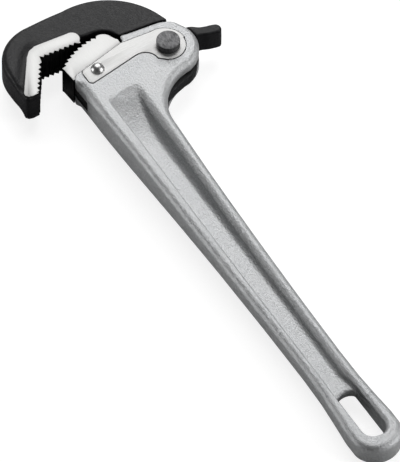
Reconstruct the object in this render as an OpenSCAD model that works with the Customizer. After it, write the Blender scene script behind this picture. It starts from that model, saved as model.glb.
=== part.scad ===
// One-hand pipe wrench, nominal 14 in: spring-closed hook jaw on a cast aluminium handle.
// Units are millimetres. The wrench lies flat: +Z is its thickness, +X runs from the pivot
// along the handle, +Y is the side of the thumb tab. The origin is the centre of the pivot
// pin's lower end face.

/* [Head] */
// Height of the wrench's middle plane above the pivot pin's lower end
mid_height = 15.5; // [15.5:0.1:16.5]
// Thickness of the handle's head across both cheeks
head_thick = 23; // [23:0.1:23.6]
// Width of the fork slot between the two cheeks
slot_width = 8; // [7.8:0.05:8.1]
// Radius of the cheek lobe round the pivot
lobe_r = 18; // [17.6:0.1:18.2]
// Radius of the sweep that joins the lobe to the handle's back edge
neck_r = 30; // [29:0.5:31]

/* [Handle] */
// Half thickness of the handle at its thinnest
grip_half_thick = 7.5; // [6.5:0.1:8.5]
// Radius of the rounded end of the handle
end_r = 15.6; // [15:0.1:16]
// Thickness of the web between the two channels
web_thick = 6; // [4:0.5:8]
// Half width of the hanging slot
hang_slot_half = 7.6; // [6.5:0.1:8]

/* [Jaws] */
// Thickness of the hook jaw
hook_thick = 21.4; // [20.6:0.1:21.6]
// Thickness of the heel jaw's toothed block
heel_thick = 22; // [20:0.2:22.6]
// Height of the jaw teeth
tooth_height = 1.6; // [1.2:0.1:1.8]
// Width of the thumb tab across the wrench's thickness
tab_thick = 16; // [14:0.5:17]

/* [Pivot] */
// Radius of the pivot pin's shank
pin_r = 5; // [4.5:0.1:5]
// Radius of the pivot pin's head
pin_head_r = 6.95; // [6.4:0.05:7.1]
// Height of the pivot pin's head
pin_head_h = 4.7; // [3:0.1:5]
// Wire diameter of the closing spring
wire_d = 1.1; // [0.9:0.05:1.2]
// Turns of the closing spring
spring_turns = 2.5; // [1.5:0.5:2.5]

/* [Side plates] */
// Thickness of each steel side plate
plate_thick = 2.2; // [2:0.1:2.4]
// Depth of the pocket that each side plate lies in
pocket_depth = 1.8; // [1.5:0.1:2]
// Gap between a side plate and its pocket's wall
pocket_gap = 0.7; // [0.3:0.1:0.8]

/* [Hidden] */
$fn = 96;
eps = 0.01;
run_gap = 0.05;              // radial clearance of a running fit
head_half = head_thick / 2;
slot_half = slot_width / 2;
plate_face = head_half - pocket_depth + plate_thick;

// Heel seat: the cheeks' front end, a straight line that leans 10.3 degrees
seat_top = [-16.7, -20.5];
seat_lean = 10.3;
seat_foot_y = -59.5;
cheek_foot_r = 4.5;          // rounding of the cheeks' lower front corner
function seat_x(y) = seat_top[0] + (seat_top[1] - y) * tan(seat_lean);
cheek_corner = [-21, -20.5];

// Handle stations along X: [x, lower edge, upper edge]
stations = [[48, -58.2, -25], [90, -57.3, -26.8], [140, -56.5, -28.3], [195, -56, -29.8],
            [235, -56, -30.6], [255, -56.6, -30.5], [272, -58, -29.7], [286, -59.3, -28.7]];
end_centre = [292.5, -44];
// Where the grip starts, and the centre of the sweep that leads into its upper edge
grip_bottom = [stations[0][0], stations[0][1]];
grip_top_y = stations[0][2];
neck_c = [sqrt(pow(lobe_r + neck_r, 2) - pow(grip_top_y + neck_r, 2)), grip_top_y + neck_r];
// Handle half thickness along X, seen from the side: [x, half thickness]
thick_profile = [[-40, head_half], [45, head_half], [75, 10.4], [110, 8.9], [150, 7.8],
                 [190, grip_half_thick], [255, grip_half_thick], [285, 8], [320, 8]];
// Hanging slot
hang_centre = [290.3, -44.1];
hang_start = 259.5;
// The channel's two long walls: the line along the foot of each, and its run for each
// millimetre of height. The upper wall leans far more than the lower one.
upper_foot = [[14, -36.6], [245, -39.85]];
lower_foot = [[14, -48.4], [245, -50.1]];
upper_lean = 0.7;
lower_lean = -0.25;
// The ramp falls from the head's face to the web, steeply at first
ramp_top = [13.5, head_half + 0.8];
ramp_foot_x = 56;
ramp_power = 2.2;
fork_r = 33.5;               // the milled fork slot is a disc round the pivot
heel_slot_end_x = 6;

// Pins that hold and locate the heel jaw, and the pin that stops the hook jaw
rivet_at = [-7, -44];
rivet_r = 3;
dome_r = 4.1;
dome_h = 3.2;
locating_at = [-4.5, -50.3];
stop_at = [-11.7, -24.7];
small_pin_r = 2;

// Hook jaw
hub_half = 3.5;
hub_r = 16.8;
jaw_gap = 0.7;               // gap between the thick arm and the cheeks
back_c = [-7.4, -36.7];      // centre of the arm's outer sweep
back_r = 47.3;
corner_c = [-31.6, -65];     // centre of the lower outer corner
corner_r = 24.9;
arch_c = [-17, -34.5];       // centre of the arch above the heel jaw
arch_r = 15;
tip_x = -10.1;
hook_half = hook_thick / 2;
// The arm ends in a point, where its outer sweep meets the gap round the lobe
arm_in_r = lobe_r + jaw_gap;
arm_end_angle = 360 + atan2(back_c[1], back_c[0])
    - acos((pow(arm_in_r, 2) + back_c * back_c - pow(back_r, 2)) / (2 * arm_in_r * norm(back_c)));
arm_end = arm_in_r * [cos(arm_end_angle), sin(arm_end_angle)];
back_from = atan2(arm_end[1] - back_c[1], arm_end[0] - back_c[0]);
// The arm's edge along the cheeks
cheek_side = [[cheek_corner[0] - jaw_gap, cheek_corner[1] + 0.5], [-lobe_r - jaw_gap, 2.5]];

// Toothed insert of the hook jaw: two legs that meet at about 120 degrees
upper_leg = [[-29, -41.7], [-31.6, -67.2]];
lower_leg = [[-30.2, -67.6], [-10.9, -81.2]];
upper_teeth = 8;
lower_teeth = 7;
insert_half = hook_half + 0.2;
dowel_r = 1.5;
dowel_len = 8;
dowel_upper = [-40.1, -56];
dowel_lower = [-26.2, -81.3];
lower_leg_angle = -35.2;

// Heel jaw teeth lie on one arc
heel_arc_c = [15.7, -33.6];
heel_arc_r = 44;
heel_arc_from = 178;
heel_arc_to = 218.4;
heel_teeth = 9;
heel_top_c = [-21.6, -31];
heel_top_r = 6.6;
heel_half = heel_thick / 2;
tongue_half = slot_half - 0.05;

// Pivot stack
bushing_r = 6.5;
washer_thick = 1;
ring_thick = 1.2;
groove_r = 4.3;
thrust_in_r = 10.2;
thrust_out_r = 14.5;
thrust_thick = slot_half - hub_half - run_gap;
coil_r = 8;
spring_pocket_r = 9.5;
spring_pocket_depth = 4.4;
spring_leg_r = 0.65;
moving_leg_angle = 200;
fixed_leg_angle = moving_leg_angle - 360 * spring_turns;

function polar(c, r, a) = c + r * [cos(a), sin(a)];
function arc(c, r, from, to, n) = [for (i = [0:n]) polar(c, r, from + (to - from) * i / n)];
function unit(v) = v / norm(v);

// Saw teeth along a straight leg from p0 to p1; side is the direction the valleys go
function leg_teeth(p0, p1, n, side) =
    [for (i = [0:n - 1], k = [0, 1])
        p0 + (p1 - p0) * (i + (k == 0 ? 0.5 : 1)) / n + (k == 0 ? 0 : tooth_height) * side];

// Hooked teeth on the heel jaw's arc: a long ramp out to each tip and a short step back
function heel_tooth_points() =
    [for (i = [0:heel_teeth], k = [0, 1])
        let (step = (heel_arc_to - heel_arc_from) / heel_teeth,
             a = heel_arc_from + step * (i + (k == 0 ? 0 : 0.22)))
        polar(heel_arc_c, heel_arc_r - (k == 0 ? 0 : tooth_height), a)];

module at_mid(z = 0) {
    translate([0, 0, mid_height + z])
        children();
}

// Extrudes a flat outline the same distance above and below the middle plane
module slab(half) {
    at_mid(-half)
        linear_extrude(2 * half)
            children();
}

module cross_hole(at, r) {
    translate([at[0], at[1], -eps])
        cylinder(r = r, h = 2 * mid_height + 2 * eps);
}

// ---- Handle ----

module head_outline() {
    circle(lobe_r);
    difference() {
        polygon([[-lobe_r * 0.991, lobe_r * 0.136], cheek_corner, seat_top,
                 [seat_x(seat_foot_y), seat_foot_y], grip_bottom,
                 [neck_c[0], grip_top_y], neck_c, [0, neck_c[1]]]);
        translate(neck_c)
            circle(neck_r);
        cheek_foot();
    }
}

// The sliver outside the rounded lower front corner of the cheeks
module cheek_foot() {
    corner = [seat_x(seat_foot_y), seat_foot_y];
    along_seat = unit(seat_top - corner);
    along_edge = unit(grip_bottom - corner);
    inner = unit(along_seat + along_edge);
    half_turn = acos(along_seat * along_edge) / 2;
    reach = cheek_foot_r / tan(half_turn);
    difference() {
        polygon([corner - inner, corner + reach * along_seat,
                 corner + cheek_foot_r / sin(half_turn) * inner, corner + reach * along_edge]);
        translate(corner + cheek_foot_r / sin(half_turn) * inner)
            circle(cheek_foot_r);
    }
}

module grip_outline() {
    polygon(concat([for (s = stations) [s[0], s[1]]],
                   arc(end_centre, end_r, -78, 78, 24),
                   [for (i = [len(stations) - 1:-1:0]) [stations[i][0], stations[i][2]]],
                   [[neck_c[0] - 1, grip_top_y], [neck_c[0] - 1, grip_bottom[1]]]));
}

module thickness_block() {
    lower = [for (i = [len(thick_profile) - 1:-1:0]) [thick_profile[i][0], -thick_profile[i][1]]];
    at_mid()
        translate([0, 40, 0])
            rotate([90, 0, 0])
                linear_extrude(110)
                    polygon(concat(thick_profile, lower));
}

// The space on the inner side of one leaning wall, from the web to above the face
module inside_wall(foot, lean, side) {
    low = web_thick / 2;
    high = head_half + 2;
    across = lean > 0 ? -30 : 30;
    along = foot[1] - foot[0];
    translate([foot[0][0], foot[0][1], 0])
        rotate([0, 0, atan2(along[1], along[0])])
            rotate([90, 0, 90])
                translate([0, 0, -20])
                    linear_extrude(norm(along) + 60)
                        polygon([[0, side * low], [lean * (high - low), side * high],
                                 [across, side * high], [across, side * low]]);
}

// The recess on one face: side is 1 for the front face and -1 for the back face.
// It ends inside the hanging slot.
module channel(side) {
    fall = ramp_top[1] - web_thick / 2;
    ramp = [for (k = [-1:16])
        [ramp_top[0] + (ramp_foot_x - ramp_top[0]) * k / 16,
         web_thick / 2 + fall * pow(1 - k / 16, ramp_power)]];
    profile = concat(ramp, [[hang_centre[0] - 10, web_thick / 2],
                            [hang_centre[0] - 10, ramp[0][1]]]);
    at_mid()
        intersection() {
            inside_wall(upper_foot, upper_lean, side);
            inside_wall(lower_foot, lower_lean, side);
            rotate([90, 0, 0])
                linear_extrude(110)
                    polygon([for (p = profile) [p[0], side * p[1]]]);
        }
}

module hanging_slot() {
    slab(head_half)
        hang_slot_outline();
}

module hang_slot_outline() {
    corner = hang_slot_half - 0.6;
    x0 = hang_start;
    y0 = hang_centre[1];
    polygon(concat(arc([x0 + corner, y0 + hang_slot_half - corner], corner, 180, 90, 10),
                   arc(hang_centre, hang_slot_half, 90, -90, 20),
                   arc([x0 + corner, y0 - hang_slot_half + corner], corner, 270, 180, 10)));
}

module fork_slot() {
    slab(slot_half) {
        circle(fork_r);
        polygon([[seat_top[0] - 8, -12], [0, -12], [heel_slot_end_x, -28],
                 [heel_slot_end_x, -62], [seat_top[0] - 8, -62]]);
    }
}

module plate_pocket(side) {
    at_mid(side > 0 ? head_half - pocket_depth : -head_half - 1)
        linear_extrude(pocket_depth + 1)
            plate_outline(pocket_gap);
}

module handle() {
    color([0.72, 0.72, 0.73])
        difference() {
            intersection() {
                slab(head_half) {
                    head_outline();
                    grip_outline();
                }
                thickness_block();
            }
            channel(1);
            channel(-1);
            hanging_slot();
            fork_slot();
            plate_pocket(1);
            plate_pocket(-1);
            cross_hole([0, 0], pin_r + run_gap);
            cross_hole(rivet_at, rivet_r);
            cross_hole(locating_at, small_pin_r);
            cross_hole(stop_at, small_pin_r);
            at_mid(-slot_half - 3)
                translate(polar([0, 0], coil_r, fixed_leg_angle))
                    cylinder(r = spring_leg_r, h = 4);
        }
}

// ---- Side plates ----

// The plate's outline grown by a gap on every side
module plate_outline(grow) {
    fillet_r = 9 - grow;
    fillet_c = [5, -18.7];
    difference() {
        union() {
            circle(10.2 + grow);
            intersection() {
                translate([0, -2.6])
                    circle(13.4 + grow);
                translate([-20, -12])
                    square([20, 30]);
            }
            polygon([[-13.4 - grow, -4], [seat_x(-23) + 0.6 - grow, -23],
                     each arc([-8, -50.4], 2.6 + grow, 190, 270, 8),
                     each arc([-2.2, -50.7], 2.3 + grow, 270, 367, 8),
                     [-4 + grow, -19], [8.6 + grow * 0.6, -5.8 - grow * 0.6], [0, 0]]);
        }
        translate(fillet_c)
            circle(fillet_r);
    }
}

module side_plate(side) {
    z0 = side > 0 ? head_half - pocket_depth : -plate_face;
    difference() {
        at_mid(z0)
            linear_extrude(plate_thick)
                plate_outline(0);
        cross_hole([0, 0], pin_r + run_gap);
        cross_hole(rivet_at, rivet_r);
    }
}

module side_plate_front() {
    color([0.86, 0.86, 0.86])
        side_plate(1);
}

module side_plate_back() {
    color([0.86, 0.86, 0.86])
        side_plate(-1);
}

// ---- Hook jaw ----

// The thick C-shaped part, which stays outside the cheeks. Its inner edge runs inside the
// insert's outline, which is cut away, so that only the insert faces the jaw's mouth.
module hook_outline() {
    inside_insert = [[-13, -82], [-34, -69], [-34, -44.2]];
    difference() {
        polygon(concat(arc([0, 0], arm_in_r, 172, arm_end_angle, 8),
                       arc(back_c, back_r, back_from + 3, 183, 28),
                       arc(corner_c, corner_r, 180, 270, 20),
                       [[-13.5, -90.4], [-11.2, -90], [tip_x, -88.6], [tip_x, -81]],
                       inside_insert,
                       arc(arch_c, arch_r, 184, 108, 12),
                       cheek_side));
        insert_outline(false);
    }
}

// The insert's outline, with its teeth or with the plain tooth lines
module insert_outline(toothed) {
    inward_upper = [-1, -0.1];
    inward_lower = [-0.576, -0.817];
    lower_end = [[-10.9, -85.6], [-11.6, -88], [-13.4, -89.4], [-15.2, -89.2]];
    outer = [[-36.6, -74], [-39.8, -70.6], [-41.1, -66]];
    upper_end = arc([-34, -44.9], 4.8, 180, 38, 12);
    inner = toothed
        ? concat(leg_teeth(upper_leg[0], upper_leg[1], upper_teeth, inward_upper),
                 leg_teeth(lower_leg[0], lower_leg[1], lower_teeth, inward_lower))
        : concat(upper_leg, lower_leg);
    polygon(concat(upper_end, [upper_leg[0]], inner, [lower_leg[1]], lower_end, outer));
}

module hub_outline() {
    circle(hub_r);
    // arm that joins the hub to the thick part
    polygon([[0, 0], [-10, 13], polar([0, 0], lobe_r, 147), polar(back_c, back_r, 108),
             [-30, -3], [-26, -21], [cheek_corner[0] - jaw_gap, -20], [-8, -14.5]]);
    // neck of the thumb tab
    polygon([[0, 0], [1, 19.5], [-9.6, 17.2]]);
    // rear lobe behind the pivot
    polygon([[0, 0], polar([0, 0], lobe_r - 0.1, 60), polar([0, 0], lobe_r, 36), [18.2, 7.6], [20.2, 4],
             [21.6, -2], [23.2, -8], [25.2, -13.6], [26.4, -16.6], [25, -17.6], [4, -15]]);
}

module tab_outline() {
    polygon(concat([[1, 19.4], [1.7, 22], [3.4, 25.7], [4.5, 29.4], [5.2, 32.4], [4.6, 33.8],
                    [3, 34.7], [1, 34.6], [-0.7, 33.5], [-1.9, 30.6], [-2.8, 27.1],
                    [-4.1, 23.8], [-6.7, 20.6]],
                   arc([0, 0], arm_in_r, 119, 87, 8)));
}

module insert_dowel_places() {
    translate([dowel_upper[0], dowel_upper[1], mid_height])
        rotate([0, 90, 3.5])
            children();
    translate([dowel_lower[0], dowel_lower[1], mid_height])
        rotate([0, 90, lower_leg_angle + 90])
            children();
}

module dowel_bore() {
    translate([0, 0, -dowel_len / 2])
        cylinder(r = dowel_r, h = dowel_len);
}

module hook_jaw() {
    color([0.22, 0.22, 0.23])
        difference() {
            union() {
                slab(hook_half)
                    hook_outline();
                slab(hub_half)
                    hub_outline();
                slab(tab_thick / 2)
                    tab_outline();
            }
            cross_hole([0, 0], bushing_r);
            at_mid(-hub_half - eps)
                cylinder(r = spring_pocket_r, h = spring_pocket_depth + eps);
            at_mid(-hub_half)
                translate(polar([0, 0], coil_r, moving_leg_angle))
                    cylinder(r = spring_leg_r, h = 6.2);
            insert_dowel_places()
                dowel_bore();
        }
}

module hook_jaw_insert() {
    color([0.88, 0.88, 0.87])
        difference() {
            slab(insert_half)
                insert_outline(true);
            insert_dowel_places()
                dowel_bore();
        }
}

module insert_dowels() {
    color([0.6, 0.6, 0.62])
        insert_dowel_places()
            dowel_bore();
}

// ---- Heel jaw ----

// The block's foot reaches round the cheeks' rounded corner
module heel_block_outline() {
    difference() {
        polygon(concat([[-7.7, -59.9], [-8, seat_foot_y + 3.6],
                        [seat_x(seat_foot_y + 6), seat_foot_y + 6], [seat_x(-22.4), -22.4],
                        [-19.6, -22.4], [-20.8, -23.4]],
                       arc(heel_top_c, heel_top_r, 105, 175, 6),
                       heel_tooth_points()));
        head_outline();
    }
}

module heel_tongue_outline() {
    difference() {
        polygon([[seat_x(-22.4) - 1, -22.4], [heel_slot_end_x - 1, -22.4],
                 [heel_slot_end_x - 1, -58.6], [seat_x(-58.9) - 1, -58.9]]);
        circle(fork_r + 0.8);
    }
}

module heel_jaw() {
    color([0.84, 0.84, 0.83])
        difference() {
            union() {
                slab(heel_half)
                    heel_block_outline();
                slab(tongue_half)
                    heel_tongue_outline();
            }
            cross_hole(rivet_at, rivet_r);
            cross_hole(locating_at, small_pin_r);
        }
}

// ---- Pins, rivet and pivot hardware ----

// A shallow dome that stands on z = 0
module rivet_dome() {
    ball_r = (dome_r * dome_r + dome_h * dome_h) / (2 * dome_h);
    intersection() {
        translate([0, 0, dome_h - ball_r])
            sphere(r = ball_r);
        cylinder(r = dome_r + 1, h = dome_h + 1);
    }
}

module heel_rivet() {
    color([0.8, 0.8, 0.8])
        translate([rivet_at[0], rivet_at[1], 0]) {
            at_mid(-plate_face)
                cylinder(r = rivet_r, h = 2 * plate_face);
            at_mid(plate_face)
                rivet_dome();
            at_mid(-plate_face)
                mirror([0, 0, 1])
                    rivet_dome();
        }
}

module cheek_pin(at) {
    len = 2 * (head_half - pocket_depth);
    translate([at[0], at[1], mid_height - len / 2])
        cylinder(r = small_pin_r, h = len);
}

module heel_locating_pin() {
    color([0.6, 0.6, 0.62])
        cheek_pin(locating_at);
}

module opening_stop_pin() {
    color([0.6, 0.6, 0.62])
        cheek_pin(stop_at);
}

module pivot_pin() {
    edge = 0.5;
    top = mid_height + plate_face;
    groove_z = mid_height - plate_face - washer_thick - ring_thick;
    color([0.3, 0.3, 0.31])
        rotate_extrude()
            polygon([[0, 0], [pin_r - edge, 0], [pin_r, edge],
                     [pin_r, groove_z], [groove_r, groove_z],
                     [groove_r, groove_z + ring_thick], [pin_r, groove_z + ring_thick],
                     [pin_r, top], [pin_head_r, top],
                     [pin_head_r, top + pin_head_h - edge], [pin_head_r - edge, top + pin_head_h],
                     [0, top + pin_head_h]]);
}

module flat_ring(out_r, in_r, thick) {
    difference() {
        cylinder(r = out_r, h = thick);
        translate([0, 0, -1])
            cylinder(r = in_r, h = thick + 2);
    }
}

module pivot_washer() {
    color([0.7, 0.7, 0.7])
        at_mid(-plate_face - washer_thick)
            flat_ring(8.5, pin_r + 0.1, washer_thick);
}

// Open ring that snaps into the pin's groove; its gap faces the thumb tab
module pivot_retaining_ring() {
    gap = 3;
    color([0.25, 0.25, 0.26])
        at_mid(-plate_face - washer_thick - ring_thick)
            difference() {
                flat_ring(7.2, groove_r, ring_thick);
                translate([-gap / 2, 0, -1])
                    cube([gap, 10, ring_thick + 2]);
            }
}

module jaw_bushing() {
    color([0.72, 0.58, 0.32])
        at_mid(-hub_half)
            flat_ring(bushing_r, pin_r + run_gap, 2 * hub_half);
}

module thrust_washer_front() {
    color([0.72, 0.58, 0.32])
        at_mid(hub_half)
            flat_ring(thrust_out_r, thrust_in_r, thrust_thick);
}

module thrust_washer_back() {
    color([0.72, 0.58, 0.32])
        at_mid(-hub_half - thrust_thick)
            flat_ring(thrust_out_r, thrust_in_r, thrust_thick);
}

// Torsion spring wound round the bushing: one tail in the back cheek, one in the hook jaw
module closing_spring() {
    sides = 8;
    wire_r = wire_d / 2;
    pitch = wire_d + 0.05;
    low = -hub_half + wire_r + 0.1;
    high = low + pitch * spring_turns;
    steps = round(24 * spring_turns);
    cheek_tail = [coil_r * cos(fixed_leg_angle), coil_r * sin(fixed_leg_angle), -slot_half - 2.4];
    jaw_tail = [coil_r * cos(moving_leg_angle), coil_r * sin(moving_leg_angle), high + 2];
    coil = [for (i = [0:steps])
        let (a = fixed_leg_angle + (moving_leg_angle - fixed_leg_angle) * i / steps)
        [coil_r * cos(a), coil_r * sin(a), low + (high - low) * i / steps]];
    path = concat([cheek_tail], coil, [jaw_tail]);
    last = len(path) - 1;
    function ring(i) =
        let (a = fixed_leg_angle
                 + (moving_leg_angle - fixed_leg_angle) * min(max(i - 1, 0), steps) / steps,
             out = [cos(a), sin(a), 0],
             side = i == 0 || i == last
                 ? [-sin(a), cos(a), 0]
                 : (i == 1 || i == last - 1 ? unit([-sin(a), cos(a), -1]) : [0, 0, -1]))
        [for (k = [0:sides - 1])
            path[i] + wire_r * (out * cos(360 * k / sides) + side * sin(360 * k / sides))];
    points = [for (i = [0:last]) each ring(i)];
    walls = [for (i = [0:last - 1], k = [0:sides - 1])
        [i * sides + k, i * sides + (k + 1) % sides,
         (i + 1) * sides + (k + 1) % sides, (i + 1) * sides + k]];
    caps = [[for (k = [sides - 1:-1:0]) k], [for (k = [0:sides - 1]) last * sides + k]];
    color([0.5, 0.5, 0.52])
        at_mid()
            polyhedron(points, concat(walls, caps), convexity = 6);
}

handle();
side_plate_front();
side_plate_back();
hook_jaw();
hook_jaw_insert();
insert_dowels();
heel_jaw();
heel_rivet();
heel_locating_pin();
opening_stop_pin();
pivot_pin();
pivot_washer();
pivot_retaining_ring();
jaw_bushing();
thrust_washer_front();
thrust_washer_back();
closing_spring();
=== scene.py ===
"""One-hand pipe wrench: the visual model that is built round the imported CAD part.

Lengths inside the mesh code are millimetres in the part's own frame. They become metres when a
mesh is made. The handle and the hook are rounded solids, meshed from a distance field, and the
machined cuts are then made in them. The rivet and the pivot pin are turned profiles. Every other
piece is the CAD piece it stands for, with its edges eased.
"""
import math

import bmesh
import bpy
import numpy as np
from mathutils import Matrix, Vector


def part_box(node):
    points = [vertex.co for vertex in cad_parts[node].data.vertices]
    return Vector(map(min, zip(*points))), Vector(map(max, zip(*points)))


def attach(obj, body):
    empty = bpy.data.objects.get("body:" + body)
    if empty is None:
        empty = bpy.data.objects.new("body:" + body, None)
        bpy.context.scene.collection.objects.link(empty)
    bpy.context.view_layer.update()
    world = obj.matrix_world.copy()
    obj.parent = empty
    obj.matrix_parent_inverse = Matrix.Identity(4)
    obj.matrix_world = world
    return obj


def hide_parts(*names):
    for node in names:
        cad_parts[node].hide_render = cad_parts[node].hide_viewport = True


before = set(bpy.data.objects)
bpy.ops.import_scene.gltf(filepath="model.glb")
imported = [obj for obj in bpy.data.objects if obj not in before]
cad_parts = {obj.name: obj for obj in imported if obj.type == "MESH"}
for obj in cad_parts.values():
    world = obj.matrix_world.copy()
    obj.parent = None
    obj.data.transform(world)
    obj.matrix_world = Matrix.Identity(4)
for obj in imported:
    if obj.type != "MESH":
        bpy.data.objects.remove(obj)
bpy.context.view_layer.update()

MM = 0.001


def box_mm(node):
    """A CAD node's lowest and highest corners, in millimetres."""
    low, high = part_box(node)
    return np.array(low) / MM, np.array(high) / MM


def centre_mm(node):
    low, high = box_mm(node)
    return (low + high) / 2


# Half thicknesses, measured from the wrench's middle plane at height MID
MID = centre_mm("handle")[2]
HEAD_HALF = box_mm("handle")[1][2] - MID
HOOK_HALF = box_mm("hook_jaw")[1][2] - MID
SLOT_HALF = 4.0
HUB_HALF = 3.5
TAB_HALF = 8.0
# Heights above MID at which the CAD pieces are cut for their outlines
CHEEK_LEVEL = 6.5
JAW_LEVEL = 9
HUB_LEVEL = 2
TAB_LEVEL = 5
# Heights below and above every piece, for the holes that go right through
BELOW = -1
ABOVE = 40
# The pivot pin's shank
SHANK_R = 5.0
# The closing spring has one tail in the back cheek and the other in the hook
COIL_R = 8.0
CHEEK_TAIL_ANGLE = 20
HOOK_TAIL_ANGLE = 200
TAIL_HOLE_R = 0.75
# The two bodies of the frame
FIXED_BODY = "handle_assembly"
MOVING_BODY = "jaw"


# ---- Camera ----

AZIMUTH = math.radians(57.8)
ELEVATION = math.radians(53.7)
CAMERA_DISTANCE = 10.0
IMAGE_HEIGHT = 462
MM_PER_PIXEL = 0.577
SENSOR_WIDTH = 36
# From the pivot, at the front plate's top, to the point that the camera looks at
TARGET_RIGHT = 18.5
TARGET_DOWN = 108.3
TARGET_NEARER = 70
RIGHT = Vector((math.cos(AZIMUTH), math.sin(AZIMUTH), 0))
AHEAD = Vector((-math.sin(AZIMUTH), math.cos(AZIMUTH), 0))


def make_camera():
    look = AHEAD * math.cos(ELEVATION) - Vector((0, 0, 1)) * math.sin(ELEVATION)
    up = RIGHT.cross(look)
    pivot = Vector((0, 0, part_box("side_plate_front")[1].z))
    target = (pivot + RIGHT * (TARGET_RIGHT * MM) - up * (TARGET_DOWN * MM)
              - look * (TARGET_NEARER * MM))
    data = bpy.data.cameras.new("camera")
    data.sensor_width = SENSOR_WIDTH
    data.lens = SENSOR_WIDTH * CAMERA_DISTANCE / (IMAGE_HEIGHT * MM_PER_PIXEL * MM)
    data.clip_end = 3 * CAMERA_DISTANCE
    camera = bpy.data.objects.new("camera", data)
    camera.location = target - look * CAMERA_DISTANCE
    camera.rotation_euler = look.to_track_quat("-Z", "Y").to_euler()
    bpy.context.scene.collection.objects.link(camera)
    bpy.context.scene.camera = camera


# ---- Flat outlines ----

def arc(centre, radius, start, stop, count):
    """Points on an arc, with its angles in degrees."""
    angles = np.radians(np.linspace(start, stop, count + 1))
    return [(centre[0] + radius * math.cos(a), centre[1] + radius * math.sin(a)) for a in angles]


def circle(centre, radius, count=96):
    return arc(centre, radius, 0, 360, count)[:-1]


def welded(node):
    """A CAD node's mesh as a BMesh with its points joined."""
    bm = bmesh.new()
    bm.from_mesh(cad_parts[node].data)
    bmesh.ops.remove_doubles(bm, verts=bm.verts, dist=1e-6)
    return bm


def sections(node, z):
    """The closed loops in which a level plane cuts a CAD node, widest first."""
    bm = welded(node)
    everything = bm.verts[:] + bm.edges[:] + bm.faces[:]
    bmesh.ops.bisect_plane(bm, geom=everything, plane_co=(0, 0, z * MM), plane_no=(0, 0, 1),
                           clear_inner=True, clear_outer=True)
    loops = []
    waiting = set(bm.verts)
    while waiting:
        vert = waiting.pop()
        loop = [vert]
        while True:
            ahead = [e.other_vert(vert) for e in vert.link_edges]
            ahead = [v for v in ahead if v in waiting]
            if not ahead:
                break
            vert = ahead[0]
            waiting.discard(vert)
            loop.append(vert)
        loops.append(np.array([(v.co.x / MM, v.co.y / MM) for v in loop]))
    bm.free()
    return sorted(loops, key=lambda points: -np.ptp(points, axis=0).sum())


def grown(loop, gap):
    """A loop moved outwards by a gap."""
    points = np.array(loop)
    nexts = np.roll(points, -1, axis=0)
    area = (points[:, 0] * nexts[:, 1] - nexts[:, 0] * points[:, 1]).sum()
    along = (nexts - points) / np.linalg.norm(nexts - points, axis=1)[:, None]
    out = np.sign(area) * np.stack([along[:, 1], -along[:, 0]], axis=1)
    mitre = out + np.roll(out, 1, axis=0)
    return points + gap * mitre / np.maximum((mitre * mitre).sum(axis=1) / 2, 0.5)[:, None]


# ---- Distance fields: negative inside, in millimetres ----

def loop_distance(x, y, loop):
    """The distance to a closed loop."""
    best = np.full(x.shape, np.inf)
    inside = np.zeros(x.shape, bool)
    for (ax, ay), (bx, by) in zip(loop, np.roll(loop, -1, axis=0)):
        ex, ey = bx - ax, by - ay
        t = np.clip(((x - ax) * ex + (y - ay) * ey) / max(ex * ex + ey * ey, 1e-12), 0, 1)
        best = np.minimum(best, (x - ax - t * ex) ** 2 + (y - ay - t * ey) ** 2)
        if ay != by:
            inside ^= ((ay > y) != (by > y)) & (x < ex * (y - ay) / ey + ax)
    return np.where(inside, -1, 1) * np.sqrt(best)


def blurred(values, spread):
    """Softens a 2-D map along both axes; spread is in cells."""
    reach = int(math.ceil(3 * spread))
    weights = np.exp(-0.5 * (np.arange(-reach, reach + 1) / spread) ** 2)
    weights /= weights.sum()
    for axis in (0, 1):
        pad = [(reach, reach) if a == axis else (0, 0) for a in (0, 1)]
        wide = np.pad(values, pad, mode="edge")
        size = values.shape[axis]
        values = sum(w * np.take(wide, np.arange(k, k + size), axis=axis)
                     for k, w in enumerate(weights))
    return values


class Plan:
    """The distance to a flat outline, kept on a fine grid so that it can be read anywhere."""
    CELL = 0.5
    MARGIN = 8

    def __init__(self, loop, soften=0.0):
        loop = np.array(loop)
        self.low = loop.min(axis=0) - self.MARGIN
        count = np.ceil((np.ptp(loop, axis=0) + 2 * self.MARGIN) / self.CELL).astype(int) + 1
        x, y = np.meshgrid(*[self.low[a] + self.CELL * np.arange(count[a]) for a in (0, 1)],
                           indexing="ij")
        self.values = loop_distance(x, y, loop)
        if soften:
            self.values = blurred(self.values, soften / self.CELL)

    def __call__(self, x, y):
        last = np.array(self.values.shape) - 1.001
        u = np.clip((x - self.low[0]) / self.CELL, 0, last[0])
        v = np.clip((y - self.low[1]) / self.CELL, 0, last[1])
        i, j = u.astype(int), v.astype(int)
        u, v = u - i, v - j
        near = self.values[i, j] * (1 - u) + self.values[i + 1, j] * u
        far = self.values[i, j + 1] * (1 - u) + self.values[i + 1, j + 1] * u
        return near * (1 - v) + far * v


def both(a, b, radius):
    """Where two solids overlap, with the edge between them rounded."""
    corner = np.hypot(np.maximum(a + radius, 0), np.maximum(b + radius, 0))
    return np.minimum(np.maximum(a, b), -radius) + corner


def either(a, b, radius):
    """Two solids joined, with a fillet between them."""
    return -both(-a, -b, radius)


def ease(t):
    """A smooth step from 0 to 1."""
    t = np.clip(t, 0, 1)
    return t * t * (3 - 2 * t)


# ---- Meshes ----

CORNERS = [(i, j, k) for i in (0, 1) for j in (0, 1) for k in (0, 1)]
CELL_EDGES = [(a, b) for a in CORNERS for b in CORNERS
              if a < b and sum(p != q for p, q in zip(a, b)) == 1]


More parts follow.
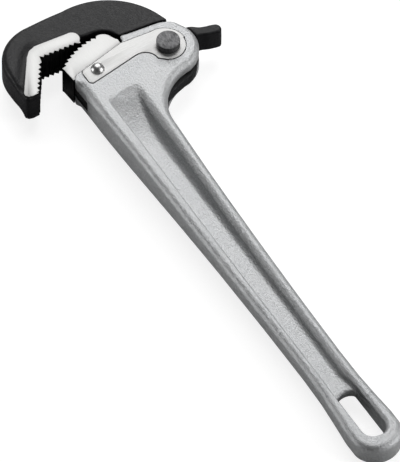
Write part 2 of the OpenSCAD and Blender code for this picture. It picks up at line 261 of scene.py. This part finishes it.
def net(field, low, high, cell):
    """Vertices and quads of the closed surface where a field is zero."""
    axes = [np.arange(lo - 2 * c, hi + 3 * c, c) for lo, hi, c in zip(low, high, cell)]
    grid = np.meshgrid(*axes, indexing="ij")
    values = field(*grid)
    inside = values < 0
    shape = tuple(n - 1 for n in inside.shape)

    def at(array, corner):
        return array[tuple(slice(c, c + n) for c, n in zip(corner, shape))]

    filled = sum(at(inside, c).astype(np.int8) for c in CORNERS)
    cells = np.argwhere((filled > 0) & (filled < 8))
    number = np.full(shape, -1)
    number[tuple(cells.T)] = np.arange(len(cells))
    total = np.zeros((len(cells), 3))
    crossings = np.zeros((len(cells), 1))
    for a, b in CELL_EDGES:
        at_a = values[tuple((cells + a).T)]
        at_b = values[tuple((cells + b).T)]
        cut = (at_a < 0) != (at_b < 0)
        share = np.where(cut, at_a / np.where(cut, at_a - at_b, 1), 0)[:, None]
        total += cut[:, None] * (np.array(a) + share * (np.array(b) - np.array(a)))
        crossings += cut[:, None]
    origin = np.array([axis[0] for axis in axes])
    points = origin + (cells + total / crossings) * np.array(cell)
    quads = []
    for axis in range(3):
        step = np.eye(3, dtype=int)[axis]
        u, v = np.eye(3, dtype=int)[(axis + 1) % 3], np.eye(3, dtype=int)[(axis + 2) % 3]
        ends = tuple(slice(0, n - s) for n, s in zip(inside.shape, step))
        starts = tuple(slice(s, n) for n, s in zip(inside.shape, step))
        edges = np.argwhere(inside[ends] != inside[starts])
        ring = np.stack([number[tuple((edges - d).T)] for d in (0 * u, u, u + v, v)], axis=1)
        leaves = inside[tuple(edges.T)]
        quads.append(np.where(leaves[:, None], ring, ring[:, ::-1]))
    return settled(points, field), np.concatenate(quads)


def settled(points, field):
    """Moves points along the field's slope onto its surface, by at most 0.4 mm a round."""
    step = 0.05
    for _ in range(4):
        value = field(*points.T)
        slope = np.stack([field(*(points + step * e).T) - field(*(points - step * e).T)
                          for e in np.eye(3)], axis=1) / (2 * step)
        length = np.maximum((slope * slope).sum(axis=1), 0.25)
        points = points - np.clip(value / length, -0.4, 0.4)[:, None] * slope
    return points


def new_object(name, mesh):
    thing = bpy.data.objects.new(name, mesh)
    bpy.context.scene.collection.objects.link(thing)
    return thing


def object_from(name, points, faces):
    mesh = bpy.data.meshes.new(name)
    mesh.from_pydata((np.asarray(points) * MM).tolist(), [], [list(map(int, f)) for f in faces])
    mesh.validate()
    return new_object(name, mesh)


def prism(loop, bottom, top):
    """A closed upright prism on a flat loop."""
    loop = np.array(loop)
    nexts = np.roll(loop, -1, axis=0)
    if (loop[:, 0] * nexts[:, 1] - nexts[:, 0] * loop[:, 1]).sum() < 0:
        loop = loop[::-1]
    n = len(loop)
    points = [(x, y, z) for z in (bottom, top) for x, y in loop]
    walls = [(i, (i + 1) % n, n + (i + 1) % n, n + i) for i in range(n)]
    return object_from("cutter", points, [range(n)[::-1], range(n, 2 * n), *walls])


def tail_hole(angle, bottom, top):
    """A cutter for the hole that takes one of the closing spring's tails."""
    turn = math.radians(angle)
    place = (COIL_R * math.cos(turn), COIL_R * math.sin(turn))
    return prism(circle(place, TAIL_HOLE_R, 24), bottom, top)


def lathe(name, profile, centre):
    """A turned piece: the profile lists (radius, height) from one end of the axis to the other."""
    sides = 96
    points = [(centre[0], centre[1], profile[0][1])]
    for radius, z in profile[1:-1]:
        points += [(x, y, z) for x, y in circle(centre, radius, sides)]
    points.append((centre[0], centre[1], profile[-1][1]))
    rings = len(profile) - 2
    faces = [(0, 1 + (k + 1) % sides, 1 + k) for k in range(sides)]
    for r in range(rings - 1):
        low = 1 + r * sides
        for k in range(sides):
            after = (k + 1) % sides
            faces.append((low + k, low + after, low + sides + after, low + sides + k))
    low = 1 + (rings - 1) * sides
    faces += [(low + k, low + (k + 1) % sides, len(points) - 1) for k in range(sides)]
    return object_from(name, points, faces)


def with_modifier(thing, kind, **settings):
    """Adds a modifier, applies it and returns the object."""
    modifier = thing.modifiers.new(kind.lower(), kind)
    for key, value in settings.items():
        setattr(modifier, key, value)
    graph = bpy.context.evaluated_depsgraph_get()
    mesh = bpy.data.meshes.new_from_object(thing.evaluated_get(graph))
    thing.modifiers.clear()
    thing.data = mesh
    return thing


def cut(thing, *cutters):
    """Takes the cutters away from an object, and deletes them."""
    for cutter in cutters:
        with_modifier(thing, "BOOLEAN", operation="DIFFERENCE", solver="MANIFOLD", object=cutter)
        bpy.data.objects.remove(cutter)


def cad_copy(name, node):
    """A new object with a CAD node's shape, its points welded and its flat faces whole."""
    bm = welded(node)
    bmesh.ops.dissolve_limit(bm, angle_limit=math.radians(0.5), verts=bm.verts, edges=bm.edges)
    mesh = bpy.data.meshes.new(name)
    bm.to_mesh(mesh)
    bm.free()
    return new_object(name, mesh)


def shaded(thing, angle=35):
    """Smooth shading, with edges sharper than an angle kept crisp."""
    mesh = thing.data
    mesh.shade_smooth()
    mesh.set_sharp_from_angle(angle=math.radians(angle))
    return thing


def bevelled(name, node, width, segments=2):
    """A CAD node's shape with its edges eased."""
    thing = cad_copy(name, node)
    with_modifier(thing, "BEVEL", width=width * MM, segments=segments, limit_method="ANGLE",
                  angle_limit=math.radians(30), harden_normals=False)
    return shaded(thing)


# ---- Materials ----

def node_of(tree, kind, **values):
    """A new shader node. A value goes to the attribute or the input socket of its name."""
    node = tree.nodes.new(kind)
    for key, value in values.items():
        if hasattr(node, key):
            setattr(node, key, value)
        else:
            node.inputs[key.replace("_", " ")].default_value = value
    return node


def noise(tree, per_mm, stretch=(1, 1, 1), turn=0.0, detail=3.0, roughness=0.55):
    """Noise in the piece's own coordinates, with this many features to a millimetre."""
    where = node_of(tree, "ShaderNodeTexCoord")
    mapping = node_of(tree, "ShaderNodeMapping")
    mapping.inputs["Scale"].default_value = stretch
    mapping.inputs["Rotation"].default_value = (0, 0, turn)
    made = node_of(tree, "ShaderNodeTexNoise", Scale=per_mm / MM, Detail=detail,
                   Roughness=roughness)
    tree.links.new(where.outputs["Object"], mapping.inputs["Vector"])
    tree.links.new(mapping.outputs["Vector"], made.inputs["Vector"])
    return made.outputs["Fac"]


def ranged(tree, value, low, high):
    """A noise value spread over a range, by a clamped map."""
    made = node_of(tree, "ShaderNodeMapRange", clamp=True, From_Min=0.3, From_Max=0.7,
                   To_Min=low, To_Max=high)
    tree.links.new(value, made.inputs["Value"])
    return made.outputs["Result"]


def mixed(tree, share, a, b):
    """Two colours mixed by a share. Each is given as a tuple or as a socket."""
    made = node_of(tree, "ShaderNodeMix", data_type="RGBA")
    # The sockets that a colour mix uses
    factor, first, second = (made.inputs[i] for i in (0, 6, 7))
    tree.links.new(share, factor)
    for socket, value in ((first, a), (second, b)):
        if isinstance(value, tuple):
            socket.default_value = (*value, 1)
        else:
            tree.links.new(value, socket)
    return made.outputs[2]


def bump(tree, height, depth_mm, under=None):
    """A normal socket for relief of this depth, laid over another normal if one is given."""
    made = node_of(tree, "ShaderNodeBump", Strength=1.0, Distance=depth_mm * MM)
    tree.links.new(height, made.inputs["Height"])
    if under:
        tree.links.new(under, made.inputs["Normal"])
    return made.outputs["Normal"]


def finished(name, metallic, build, specular=0.5):
    """A material whose build function returns its colour, roughness and normal sockets."""
    material = bpy.data.materials.new(name)
    material.use_nodes = True
    tree = material.node_tree
    shader = tree.nodes["Principled BSDF"]
    shader.inputs["Metallic"].default_value = metallic
    shader.inputs["Specular IOR Level"].default_value = specular
    for key, socket in zip(("Base Color", "Roughness", "Normal"), build(tree)):
        tree.links.new(socket, shader.inputs[key])
    return material


def cast_aluminium(tree):
    grain = noise(tree, 0.75, roughness=0.7)
    patches = noise(tree, 0.06)
    colour = mixed(tree, ranged(tree, grain, 0, 1), (0.35, 0.355, 0.36), (0.51, 0.515, 0.52))
    colour = mixed(tree, ranged(tree, patches, 0, 0.35), colour, (0.38, 0.39, 0.4))
    roughness = ranged(tree, grain, 0.47, 0.62)
    broad = bump(tree, noise(tree, 0.25), 0.12)
    return colour, roughness, bump(tree, grain, 0.5, under=broad)


def rolled_steel(tree):
    streaks = noise(tree, 0.5, stretch=(3.2, 0.25, 1), turn=math.radians(10), detail=5.0)
    clouds = noise(tree, 0.12)
    colour = mixed(tree, ranged(tree, streaks, 0, 1), (0.3, 0.3, 0.3), (0.41, 0.41, 0.405))
    colour = mixed(tree, ranged(tree, clouds, 0, 0.4), colour, (0.33, 0.327, 0.32))
    return colour, ranged(tree, streaks, 0.34, 0.5), bump(tree, streaks, 0.015)


def ground_steel(tree):
    lines = noise(tree, 0.8, stretch=(0.3, 3.0, 1), turn=math.radians(35), detail=4.0)
    colour = mixed(tree, ranged(tree, lines, 0, 1), (0.395, 0.395, 0.39), (0.43, 0.43, 0.425))
    return colour, ranged(tree, lines, 0.4, 0.46), bump(tree, lines, 0.004)


def black_forging(tree):
    grain = noise(tree, 0.9, detail=4.0)
    patches = noise(tree, 0.08)
    colour = mixed(tree, ranged(tree, grain, 0, 1), (0.005, 0.005, 0.0058), (0.011, 0.011, 0.012))
    colour = mixed(tree, ranged(tree, patches, 0, 0.5), colour, (0.009, 0.009, 0.01))
    broad = bump(tree, noise(tree, 0.2), 0.15)
    return colour, ranged(tree, grain, 0.42, 0.6), bump(tree, grain, 0.25, under=broad)


def black_oxide(tree):
    grain = noise(tree, 1.5)
    colour = mixed(tree, ranged(tree, grain, 0, 1), (0.003, 0.003, 0.0033), (0.007, 0.007, 0.0073))
    return colour, ranged(tree, grain, 0.38, 0.55), bump(tree, grain, 0.02)


def scuffed_black(tree):
    rubbed = noise(tree, 0.45, stretch=(1, 2.2, 1), turn=math.radians(40), detail=6.0,
                   roughness=0.65)
    fine = noise(tree, 2.0, stretch=(0.4, 3, 1), turn=math.radians(-25))
    colour = mixed(tree, ranged(tree, rubbed, 0, 1), (0.008, 0.008, 0.009), (0.11, 0.11, 0.112))
    colour = mixed(tree, ranged(tree, fine, 0, 0.35), colour, (0.08, 0.08, 0.083))
    return colour, ranged(tree, rubbed, 0.55, 0.36), bump(tree, fine, 0.015)


def polished_steel(tree):
    haze = noise(tree, 0.9, detail=5.0)
    colour = mixed(tree, ranged(tree, haze, 0, 1), (0.42, 0.42, 0.42), (0.56, 0.556, 0.55))
    return colour, ranged(tree, haze, 0.34, 0.46), bump(tree, haze, 0.008)


def plated(light, dark, per_mm, rough):
    """A plain metal finish: its light and dark tones, its grain and its roughness range."""
    def build(tree):
        grain = noise(tree, per_mm, detail=4.0)
        colour = mixed(tree, ranged(tree, grain, 0, 1), dark, light)
        return colour, ranged(tree, grain, *rough), bump(tree, grain, 0.01)
    return build


MATERIALS = {
    "cast_aluminium": finished("cast_aluminium", 0.9, cast_aluminium),
    "plate_steel": finished("plate_steel", 0.5, rolled_steel),
    "ground_jaw_steel": finished("ground_jaw_steel", 0.4, ground_steel),
    "jaw_black": finished("jaw_black", 0.0, black_oxide, specular=0.1),
    "black_forging": finished("black_forging", 0.0, black_forging, specular=0.25),
    # The same black forging with less shine, for the hook's sideways faces: painted shade that makes
    # them darker than its top and bottom faces.
    "forging_flank_painted_shade": finished("forging_flank_painted_shade", 0.0, black_forging, specular=0.08),
    "pin_black": finished("pin_black", 0.6, scuffed_black),
    "rivet_steel": finished("rivet_steel", 1.0, polished_steel),
}
# Name, metallic share, and what plated() takes
PLAIN_FINISHES = (
    ("dowel_steel", 1.0, (0.6, 0.6, 0.61), (0.48, 0.48, 0.49), 1.2, (0.25, 0.4)),
    ("washer_zinc", 0.9, (0.7, 0.71, 0.74), (0.56, 0.57, 0.58), 0.5, (0.3, 0.45)),
    ("ring_black", 0.2, (0.05, 0.05, 0.05), (0.025, 0.025, 0.025), 1.0, (0.4, 0.6)),
    ("bronze", 1.0, (0.62, 0.42, 0.2), (0.46, 0.3, 0.14), 1.4, (0.35, 0.5)),
    ("spring_steel", 1.0, (0.42, 0.42, 0.44), (0.28, 0.28, 0.3), 1.0, (0.25, 0.4)))
for finish, metallic, *look in PLAIN_FINISHES:
    MATERIALS[finish] = finished(finish, metallic, plated(*look))


def dressed(thing, slot, body, *nodes, wall=None):
    """Gives a piece its finish and its body, and hides the CAD nodes it stands for.
    A wall material goes on every face that looks more sideways than up or down."""
    thing.data.materials.clear()
    thing.data.materials.append(MATERIALS[slot])
    if wall:
        thing.data.materials.append(MATERIALS[wall])
        for face in thing.data.polygons:
            face.material_index = int(abs(face.normal.z) < 0.6)
    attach(thing, body)
    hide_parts(*nodes)


# ---- Handle ----

# The handle's half thickness at places along X
THICK_X = (-40, 45, 75, 110, 150, 190, 255, 285, 320)
THICK_HALF = (HEAD_HALF, HEAD_HALF, 10.4, 8.9, 7.8, 7.5, 7.5, 8, 8)
THICK_SOFTEN = 6.0
# The lines of the channel's two walls, at its rim, from the head and back to it
CHANNEL_UPPER = [(14, -30.6), (60, -31.9), (100, -33.5), (150, -34.9), (250, -36.8)]
CHANNEL_LOWER = [(250, -51.2), (150, -50.5), (60, -50.4), (14, -50.4)]
# The hanging slot: the centre of its round end, its half width, its start and its corners there
HANG_CENTRE = (290.3, -44.1)
HANG_HALF = 7.6
HANG_START = 259.5
HANG_CORNER = 7.2
HANG_EDGE = 1.7
PAST_END = 330
# The web between the channels, and the ramp that climbs from it to a top at this X and half thickness
WEB_HALF = 3.0
RAMP_TOP = (13.5, 12.3)
RAMP_FOOT_X = 56
RAMP_CURVE = 2.2
# Rounding of the outer edges. It grows at the heel's lower corner
OUTER_EDGE = 3.9
HEEL_EDGE = 5.6
HEEL_FROM = (30, -40)
HEEL_RUN = (30, 8)
# Pairs: the channel's lower wall, then its upper wall. They blend over a run above a line along X
WALL_PARTING = -46
WALL_BLEND = 6
RIM_EDGE = (0.8, 2.6)
FOOT_FILLET = (0.9, 2.0)
WALL_LEAN = (0.25, 0.7)
# Beside the hanging slot the walls stand upright
UPRIGHT_FROM = 245
UPRIGHT_RUN = 17
# The round space between the cheeks, and the gap round a side plate in its pocket
FORK_R = 33.5
PLATE_GAP = 0.62
# Where a jaw lies close to the cheeks, their edge is sharper
SEAT_EDGE = 0.3
ARM_SIDE_EDGE = 1.8
ARM_CLEAR = 2
JAW_RUN = 7
# Mesh step along X, Y and Z, and the holes through the head
HANDLE_CELL = (1.0, 0.6, 0.6)
PIVOT_HOLE_R = 5.05
RIVET_R = 3.0
SMALL_PIN_R = 2.0


def half_thickness():
    """The handle's half thickness along X, smoothed, as places and values for np.interp."""
    x = np.arange(-60.0, 340.0)
    h = np.interp(x, THICK_X, THICK_HALF)
    return x, blurred(h[:, None], THICK_SOFTEN)[:, 0]


def handle_field():
    """The distance field of the handle's casting, before its machined cuts."""
    outline = Plan(sections("handle", MID + CHEEK_LEVEL)[0], soften=0.7)
    channel = Plan(CHANNEL_UPPER + arc(HANG_CENTRE, HANG_HALF, 90, -90, 20) + CHANNEL_LOWER, 0.5)
    y = HANG_CENTRE[1]
    x = HANG_START + HANG_CORNER
    rise = HANG_HALF - HANG_CORNER
    slot = Plan(arc((x, y + rise), HANG_CORNER, 180, 90, 10)
                + [(PAST_END, y + HANG_HALF), (PAST_END, y - HANG_HALF)]
                + arc((x, y - rise), HANG_CORNER, 270, 180, 10))
    seat = Plan(sections("heel_jaw", MID + JAW_LEVEL)[0])
    arm = Plan(sections("hook_jaw", MID + JAW_LEVEL)[0])
    table = half_thickness()

    def field(x, y, z):
        off = np.abs(z - MID)
        half = np.interp(x, *table)
        heel = (ease((HEEL_FROM[0] - x) / HEEL_RUN[0])
                * ease((HEEL_FROM[1] - y) / HEEL_RUN[1]))
        edge = OUTER_EDGE + heel * (HEEL_EDGE - OUTER_EDGE)
        edge = ARM_SIDE_EDGE + (edge - ARM_SIDE_EDGE) * ease((arm(x, y) - ARM_CLEAR) / JAW_RUN)
        edge = SEAT_EDGE + (edge - SEAT_EDGE) * ease(seat(x, y) / JAW_RUN)
        body = both(outline(x, y), off - half, edge)
        upper = ease((y - WALL_PARTING) / WALL_BLEND)
        lean, foot, rim = (a + upper * (b - a) for a, b in (WALL_LEAN, FOOT_FILLET, RIM_EDGE))
        lean *= 1 - ease((x - UPRIGHT_FROM) / UPRIGHT_RUN)
        walls = -(channel(x, y) + lean * (half - off))
        along = np.clip((RAMP_FOOT_X - x) / (RAMP_FOOT_X - RAMP_TOP[0]), 0, 2)
        floor = WEB_HALF + (RAMP_TOP[1] - WEB_HALF) * along ** RAMP_CURVE
        web = both(off - floor, -slot(x, y), HANG_EDGE)
        return both(body, either(walls, web, foot), rim)
    return field


def make_handle():
    low, high = box_mm("handle")
    thing = object_from("handle_casting", *net(handle_field(), low, high, HANDLE_CELL))
    # The slot for the heel jaw's tongue: open at the heel, and closed just past the tongue
    slot_start = low[0] - 4
    slot_end, slot_top = box_mm("heel_jaw")[1][:2] + (1, -5.6)
    heel_slot = [(slot_start, -12), (0, -12), (slot_end, slot_top), (slot_end, -64),
                 (slot_start, -64)]
    pocket = grown(sections("side_plate_front", MID + HEAD_HALF)[0], PLATE_GAP)
    front_floor = box_mm("side_plate_front")[0][2]
    back_floor = box_mm("side_plate_back")[1][2]
    cut(thing,
        prism(circle((0, 0), FORK_R, 128), MID - SLOT_HALF, MID + SLOT_HALF),
        prism(heel_slot, MID - SLOT_HALF, MID + SLOT_HALF),
        prism(pocket, front_floor, front_floor + 5),
        prism(pocket, back_floor - 5, back_floor),
        prism(circle((0, 0), PIVOT_HOLE_R), BELOW, ABOVE),
        prism(circle(centre_mm("heel_rivet"), RIVET_R, 64), BELOW, ABOVE),
        prism(circle(centre_mm("heel_locating_pin"), SMALL_PIN_R, 48), BELOW, ABOVE),
        prism(circle(centre_mm("opening_stop_pin"), SMALL_PIN_R, 48), BELOW, ABOVE),
        tail_hole(CHEEK_TAIL_ANGLE, MID - SLOT_HALF - 3, MID))
    dressed(shaded(thing, 40), "cast_aluminium", FIXED_BODY, "handle")


# ---- Hook jaw ----

# Rounding of the arm's edges. It grows towards the tip, over a run below a line along X
ARM_EDGE = 1.3
TIP_EDGE = 4.0
TIP_FROM = -45
TIP_RUN = 30
# Close to the cheeks it is less, and it grows with the distance from them. The start is a share
# of the run
CHEEK_SIDE_EDGE = 0.5
CHEEK_SIDE_RUN = 4
CHEEK_SIDE_START = 0.3
TAB_EDGE = 1.3
HUB_EDGE = 0.5
# The hook's face dips beside the insert's lower leg
DIP_LINE = [(-42, -62), (-40.5, -70.5), (-37, -75), (-17, -91)]
DIP_DEPTH = 1.5
DIP_WIDTH = 3.2
DIP_FROM = -60
DIP_RUN = 14
# The hub's bore, and the pocket and the hole for the spring
BUSHING_R = 6.5
SPRING_POCKET_R = 9.5
SPRING_POCKET_DEPTH = 4.4
HOOK_TAIL_DEPTH = 6.2
HOOK_CELL = (0.6, 0.6, 0.6)


def split_at_insert(loop):
    """Parts the hook's outline into the points that touch the insert and the rest."""
    insert = sections("hook_jaw_insert", MID + JAW_LEVEL)[0]
    touching = np.array([abs(loop_distance(p[:1], p[1:], insert))[0] < 0.02 for p in loop])
    first = next(i for i in range(len(loop)) if touching[i] and not touching[i - 1])
    turned = np.roll(loop, -first, axis=0)
    count = int(np.argmin(np.roll(touching, -first)))
    return turned[:count], turned[count:]


def line_distance(x, y, line):
    """The distance to an open line of straight pieces."""
    best = np.full(x.shape, np.inf)
    for (ax, ay), (bx, by) in zip(line[:-1], line[1:]):
        ex, ey = bx - ax, by - ay
        t = np.clip(((x - ax) * ex + (y - ay) * ey) / (ex * ex + ey * ey), 0, 1)
        best = np.minimum(best, np.hypot(x - ax - t * ex, y - ay - t * ey))
    return best


def make_hook():
    arm_loop = sections("hook_jaw", MID + JAW_LEVEL)[0]
    beside_insert, rest = split_at_insert(arm_loop)
    first, last = beside_insert[0], beside_insert[-1]
    from_top = first[1] > last[1]
    # The casting runs on into the mouth, and is cut back to the insert once its edges are round
    in_mouth = [(-25, -41), (-27, -64), (-8, -78)]
    across = in_mouth if from_top else in_mouth[::-1]
    arm = Plan(np.concatenate([[first], across, [last], rest]), soften=0.5)
    hub = Plan(sections("hook_jaw", MID + HUB_LEVEL)[0])
    tab_loop = max(sections("hook_jaw", MID + TAB_LEVEL), key=lambda points: points[:, 1].max())
    tab = Plan(tab_loop, soften=0.5)
    cheeks = Plan(sections("handle", MID + CHEEK_LEVEL)[0])

    def field(x, y, z):
        off = np.abs(z - MID)
        dip = np.exp(-(line_distance(x, y, DIP_LINE) / DIP_WIDTH) ** 2)
        dip *= DIP_DEPTH * ease((DIP_FROM - y) / DIP_RUN)
        edge = ARM_EDGE + (TIP_EDGE - ARM_EDGE) * ease((TIP_FROM - y) / TIP_RUN)
        away = ease(cheeks(x, y) / CHEEK_SIDE_RUN - CHEEK_SIDE_START)
        edge = CHEEK_SIDE_EDGE + (edge - CHEEK_SIDE_EDGE) * away
        thick = both(arm(x, y), off - HOOK_HALF + dip, edge)
        thin = both(hub(x, y), off - HUB_HALF, HUB_EDGE)
        thumb = both(tab(x, y), off - TAB_HALF, TAB_EDGE)
        return np.minimum(np.minimum(thick, thin), thumb)

    low, high = box_mm("hook_jaw")
    thing = object_from("hook_forging", *net(field, low, high, HOOK_CELL))
    mouth = [(-4, -80), (-20, -58), (-20, -38.5), (-31, -38.5)]
    past = mouth if from_top else mouth[::-1]
    hub_bottom = MID - HUB_HALF
    cut(thing,
        prism(np.concatenate([beside_insert, past]), 0, ABOVE),
        prism(circle((0, 0), BUSHING_R), 0, ABOVE),
        prism(circle((0, 0), SPRING_POCKET_R), hub_bottom - 1, hub_bottom + SPRING_POCKET_DEPTH),
        tail_hole(HOOK_TAIL_ANGLE, hub_bottom, hub_bottom + HOOK_TAIL_DEPTH),
        cad_copy("cutter", "insert_dowels"))
    # The hook's sideways faces take the duller copy of its finish: painted shade.
    dressed(shaded(thing, 40), "black_forging", MOVING_BODY, "hook_jaw", wall="forging_flank_painted_shade")


# ---- Pins and small pieces ----

def make_rivet():
    """A shank between two domes. Each dome is a slice of a ball."""
    low, high = box_mm("heel_rivet")
    dome_r, dome_h = (high[0] - low[0]) / 2, 3.2
    ball_r = (dome_r ** 2 + dome_h ** 2) / (2 * dome_h)
    steps = 14
    depths = [dome_h * (k / steps) ** 2 for k in range(steps + 1)]
    radii = [math.sqrt(max(ball_r ** 2 - (ball_r - depth) ** 2, 0)) for depth in depths]
    top = [(r, high[2] - depth) for r, depth in zip(radii, depths)]
    bottom = [(r, low[2] + depth) for r, depth in zip(radii, depths)]
    shank = [(RIVET_R, bottom[-1][1]), (RIVET_R, top[-1][1])]
    profile = [(0, low[2])] + bottom[1:] + shank + top[:0:-1] + [(0, high[2])]
    thing = lathe("heel_rivet_turned", profile, centre_mm("heel_rivet"))
    dressed(shaded(thing, 50), "rivet_steel", FIXED_BODY, "heel_rivet")


def rounded_corner(radius, z, edge, up):
    """Profile points round an outer edge. up is 1 for an upper edge and -1 for a lower one."""
    steps = 4
    angles = [math.pi / 2 * k / steps for k in range(steps + 1)]
    points = [(radius - edge + edge * math.cos(a), z - up * edge * (1 - math.sin(a)))
              for a in angles]
    return points if up > 0 else points[::-1]


def make_pivot_pin():
    low, high = box_mm("pivot_pin")
    head_r = high[0]
    head_z = box_mm("side_plate_front")[1][2]
    ring_low, ring_high = (v[2] for v in box_mm("pivot_retaining_ring"))
    groove_r = 4.3
    profile = ([(0, low[2])] + rounded_corner(SHANK_R, low[2], 0.5, -1)
               + [(SHANK_R, ring_low), (groove_r, ring_low)]
               + [(groove_r, ring_high), (SHANK_R, ring_high), (SHANK_R, head_z)]
               + rounded_corner(head_r, head_z, 0.2, -1)
               + rounded_corner(head_r, high[2], 0.45, 1) + [(0, high[2])])
    thing = lathe("pivot_pin_turned", profile, (0, 0))
    dressed(shaded(thing, 40), "pin_black", FIXED_BODY, "pivot_pin")


# Piece, CAD node, width of its eased edges, finish and body
PLATES = (
    ("front_plate", "side_plate_front", 0.3, "plate_steel", FIXED_BODY),
    ("back_plate", "side_plate_back", 0.3, "plate_steel", FIXED_BODY))
TOOTHED = (
    ("heel_jaw_ground", "heel_jaw", 0.18, "ground_jaw_steel", FIXED_BODY),
    ("hook_insert_ground", "hook_jaw_insert", 0.18, "ground_jaw_steel", MOVING_BODY))
SMALL_PIECES = (
    ("locating_pin_ground", "heel_locating_pin", 0.3, "dowel_steel", FIXED_BODY),
    ("stop_pin_ground", "opening_stop_pin", 0.3, "dowel_steel", FIXED_BODY),
    ("dowels_ground", "insert_dowels", 0.3, "dowel_steel", MOVING_BODY),
    ("washer_plated", "pivot_washer", 0.15, "washer_zinc", FIXED_BODY),
    ("snap_ring", "pivot_retaining_ring", 0.2, "ring_black", FIXED_BODY),
    ("bushing_turned", "jaw_bushing", 0.2, "bronze", MOVING_BODY),
    ("thrust_ring_front", "thrust_washer_front", 0.08, "bronze", MOVING_BODY),
    ("thrust_ring_back", "thrust_washer_back", 0.08, "bronze", MOVING_BODY))


def make_eased_pieces():
    for name, node, width, finish, body in PLATES:
        dressed(bevelled(name, node, width, 3), finish, body, node)
    for name, node, width, finish, body in TOOTHED:
        dressed(bevelled(name, node, width), finish, body, node, wall="jaw_black")
    for name, node, width, finish, body in SMALL_PIECES:
        dressed(bevelled(name, node, width), finish, body, node)


def make_spring():
    spring = with_modifier(cad_copy("spring_wound", "closing_spring"), "SUBSURF", levels=1)
    dressed(shaded(spring, 60), "spring_steel", FIXED_BODY, "closing_spring")


# ---- Floor and light ----

# Name, direction from the wrench, disk's size in metres and power in watts
LIGHTS = (
    ("key", (-0.92, 0.5, 1.05), 1.5, 26),
    ("side", (0.9, 0.9, 0.5), 1.0, 18),
    ("low", (-0.6, -0.85, 0.07), 0.3, 9))
LIGHT_DISTANCE = 1.6
LIGHT_TARGET = Vector((0.12, -0.03, 0.02))
WORLD_FILL = 0.03
# The floor as the camera sees it, and as the wrench is lit by it
FLOOR_SEEN_ALBEDO = 0.27
FLOOR_ALBEDO = 0.6
FLOOR_GLOW = 0.84
FLOOR_REACH = 4000.0


def camera_only(tree, seen, unseen):
    """A number that is one value to the camera and another to light that bounces."""
    path = node_of(tree, "ShaderNodeLightPath")
    made = node_of(tree, "ShaderNodeMapRange", To_Min=unseen, To_Max=seen)
    tree.links.new(path.outputs["Is Camera Ray"], made.inputs["Value"])
    return made.outputs["Result"]


def make_floor():
    """A pale floor, tilted to lie close under the pivot pin, the lower rivet head and the end."""
    rivet = centre_mm("heel_rivet")[:2]
    rivet_z = box_mm("heel_rivet")[0][2]
    end = np.array([box_mm("handle")[1][0] - OUTER_EDGE, HANG_CENTRE[1]])
    end_z = MID - THICK_HALF[-1]
    slope = np.linalg.solve(np.array([rivet, end]), np.array([rivet_z, end_z]))
    # The pin meets a tilted floor with its rim, so the floor lies lower than the pin's centre
    drop = SHANK_R * np.linalg.norm(slope)
    corners = [(x * FLOOR_REACH, y * FLOOR_REACH) for x, y in ((-1, -1), (1, -1), (1, 1), (-1, 1))]
    points = [(x, y, slope @ (x, y) - drop) for x, y in corners]
    floor = object_from("floor", points, [(0, 1, 2, 3)])
    material = bpy.data.materials.new("floor_paper")
    material.use_nodes = True
    tree = material.node_tree
    shader = tree.nodes["Principled BSDF"]
    shader.inputs["Roughness"].default_value = 0.9
    shader.inputs["Specular IOR Level"].default_value = 0.1
    shader.inputs["Emission Color"].default_value = (1, 1, 1, 1)
    albedo = camera_only(tree, FLOOR_SEEN_ALBEDO, FLOOR_ALBEDO)
    tree.links.new(albedo, shader.inputs["Base Color"])
    tree.links.new(camera_only(tree, FLOOR_GLOW, 0.0), shader.inputs["Emission Strength"])
    floor.data.materials.append(material)


def area_light(name, toward, size, power):
    """A soft light that shines on the wrench from a direction."""
    data = bpy.data.lights.new(name, "AREA")
    data.shape = "DISK"
    data.size = size
    data.energy = power
    light = bpy.data.objects.new(name, data)
    direction = Vector(toward).normalized()
    light.location = LIGHT_TARGET + direction * LIGHT_DISTANCE
    light.rotation_euler = direction.to_track_quat("Z", "Y").to_euler()
    bpy.context.scene.collection.objects.link(light)


def make_light():
    for light in LIGHTS:
        area_light(*light)
    world = bpy.data.worlds.new("studio")
    bpy.context.scene.world = world
    world.use_nodes = True
    tree = world.node_tree
    background = tree.nodes["Background"]
    background.inputs["Color"].default_value = (1, 1, 1, 1)
    tree.links.new(camera_only(tree, 1.0, WORLD_FILL), background.inputs["Strength"])
    bpy.context.scene.view_settings.view_transform = "Standard"


make_camera()
make_handle()
make_hook()
make_rivet()
make_pivot_pin()
make_eased_pieces()
make_spring()
make_floor()
make_light()
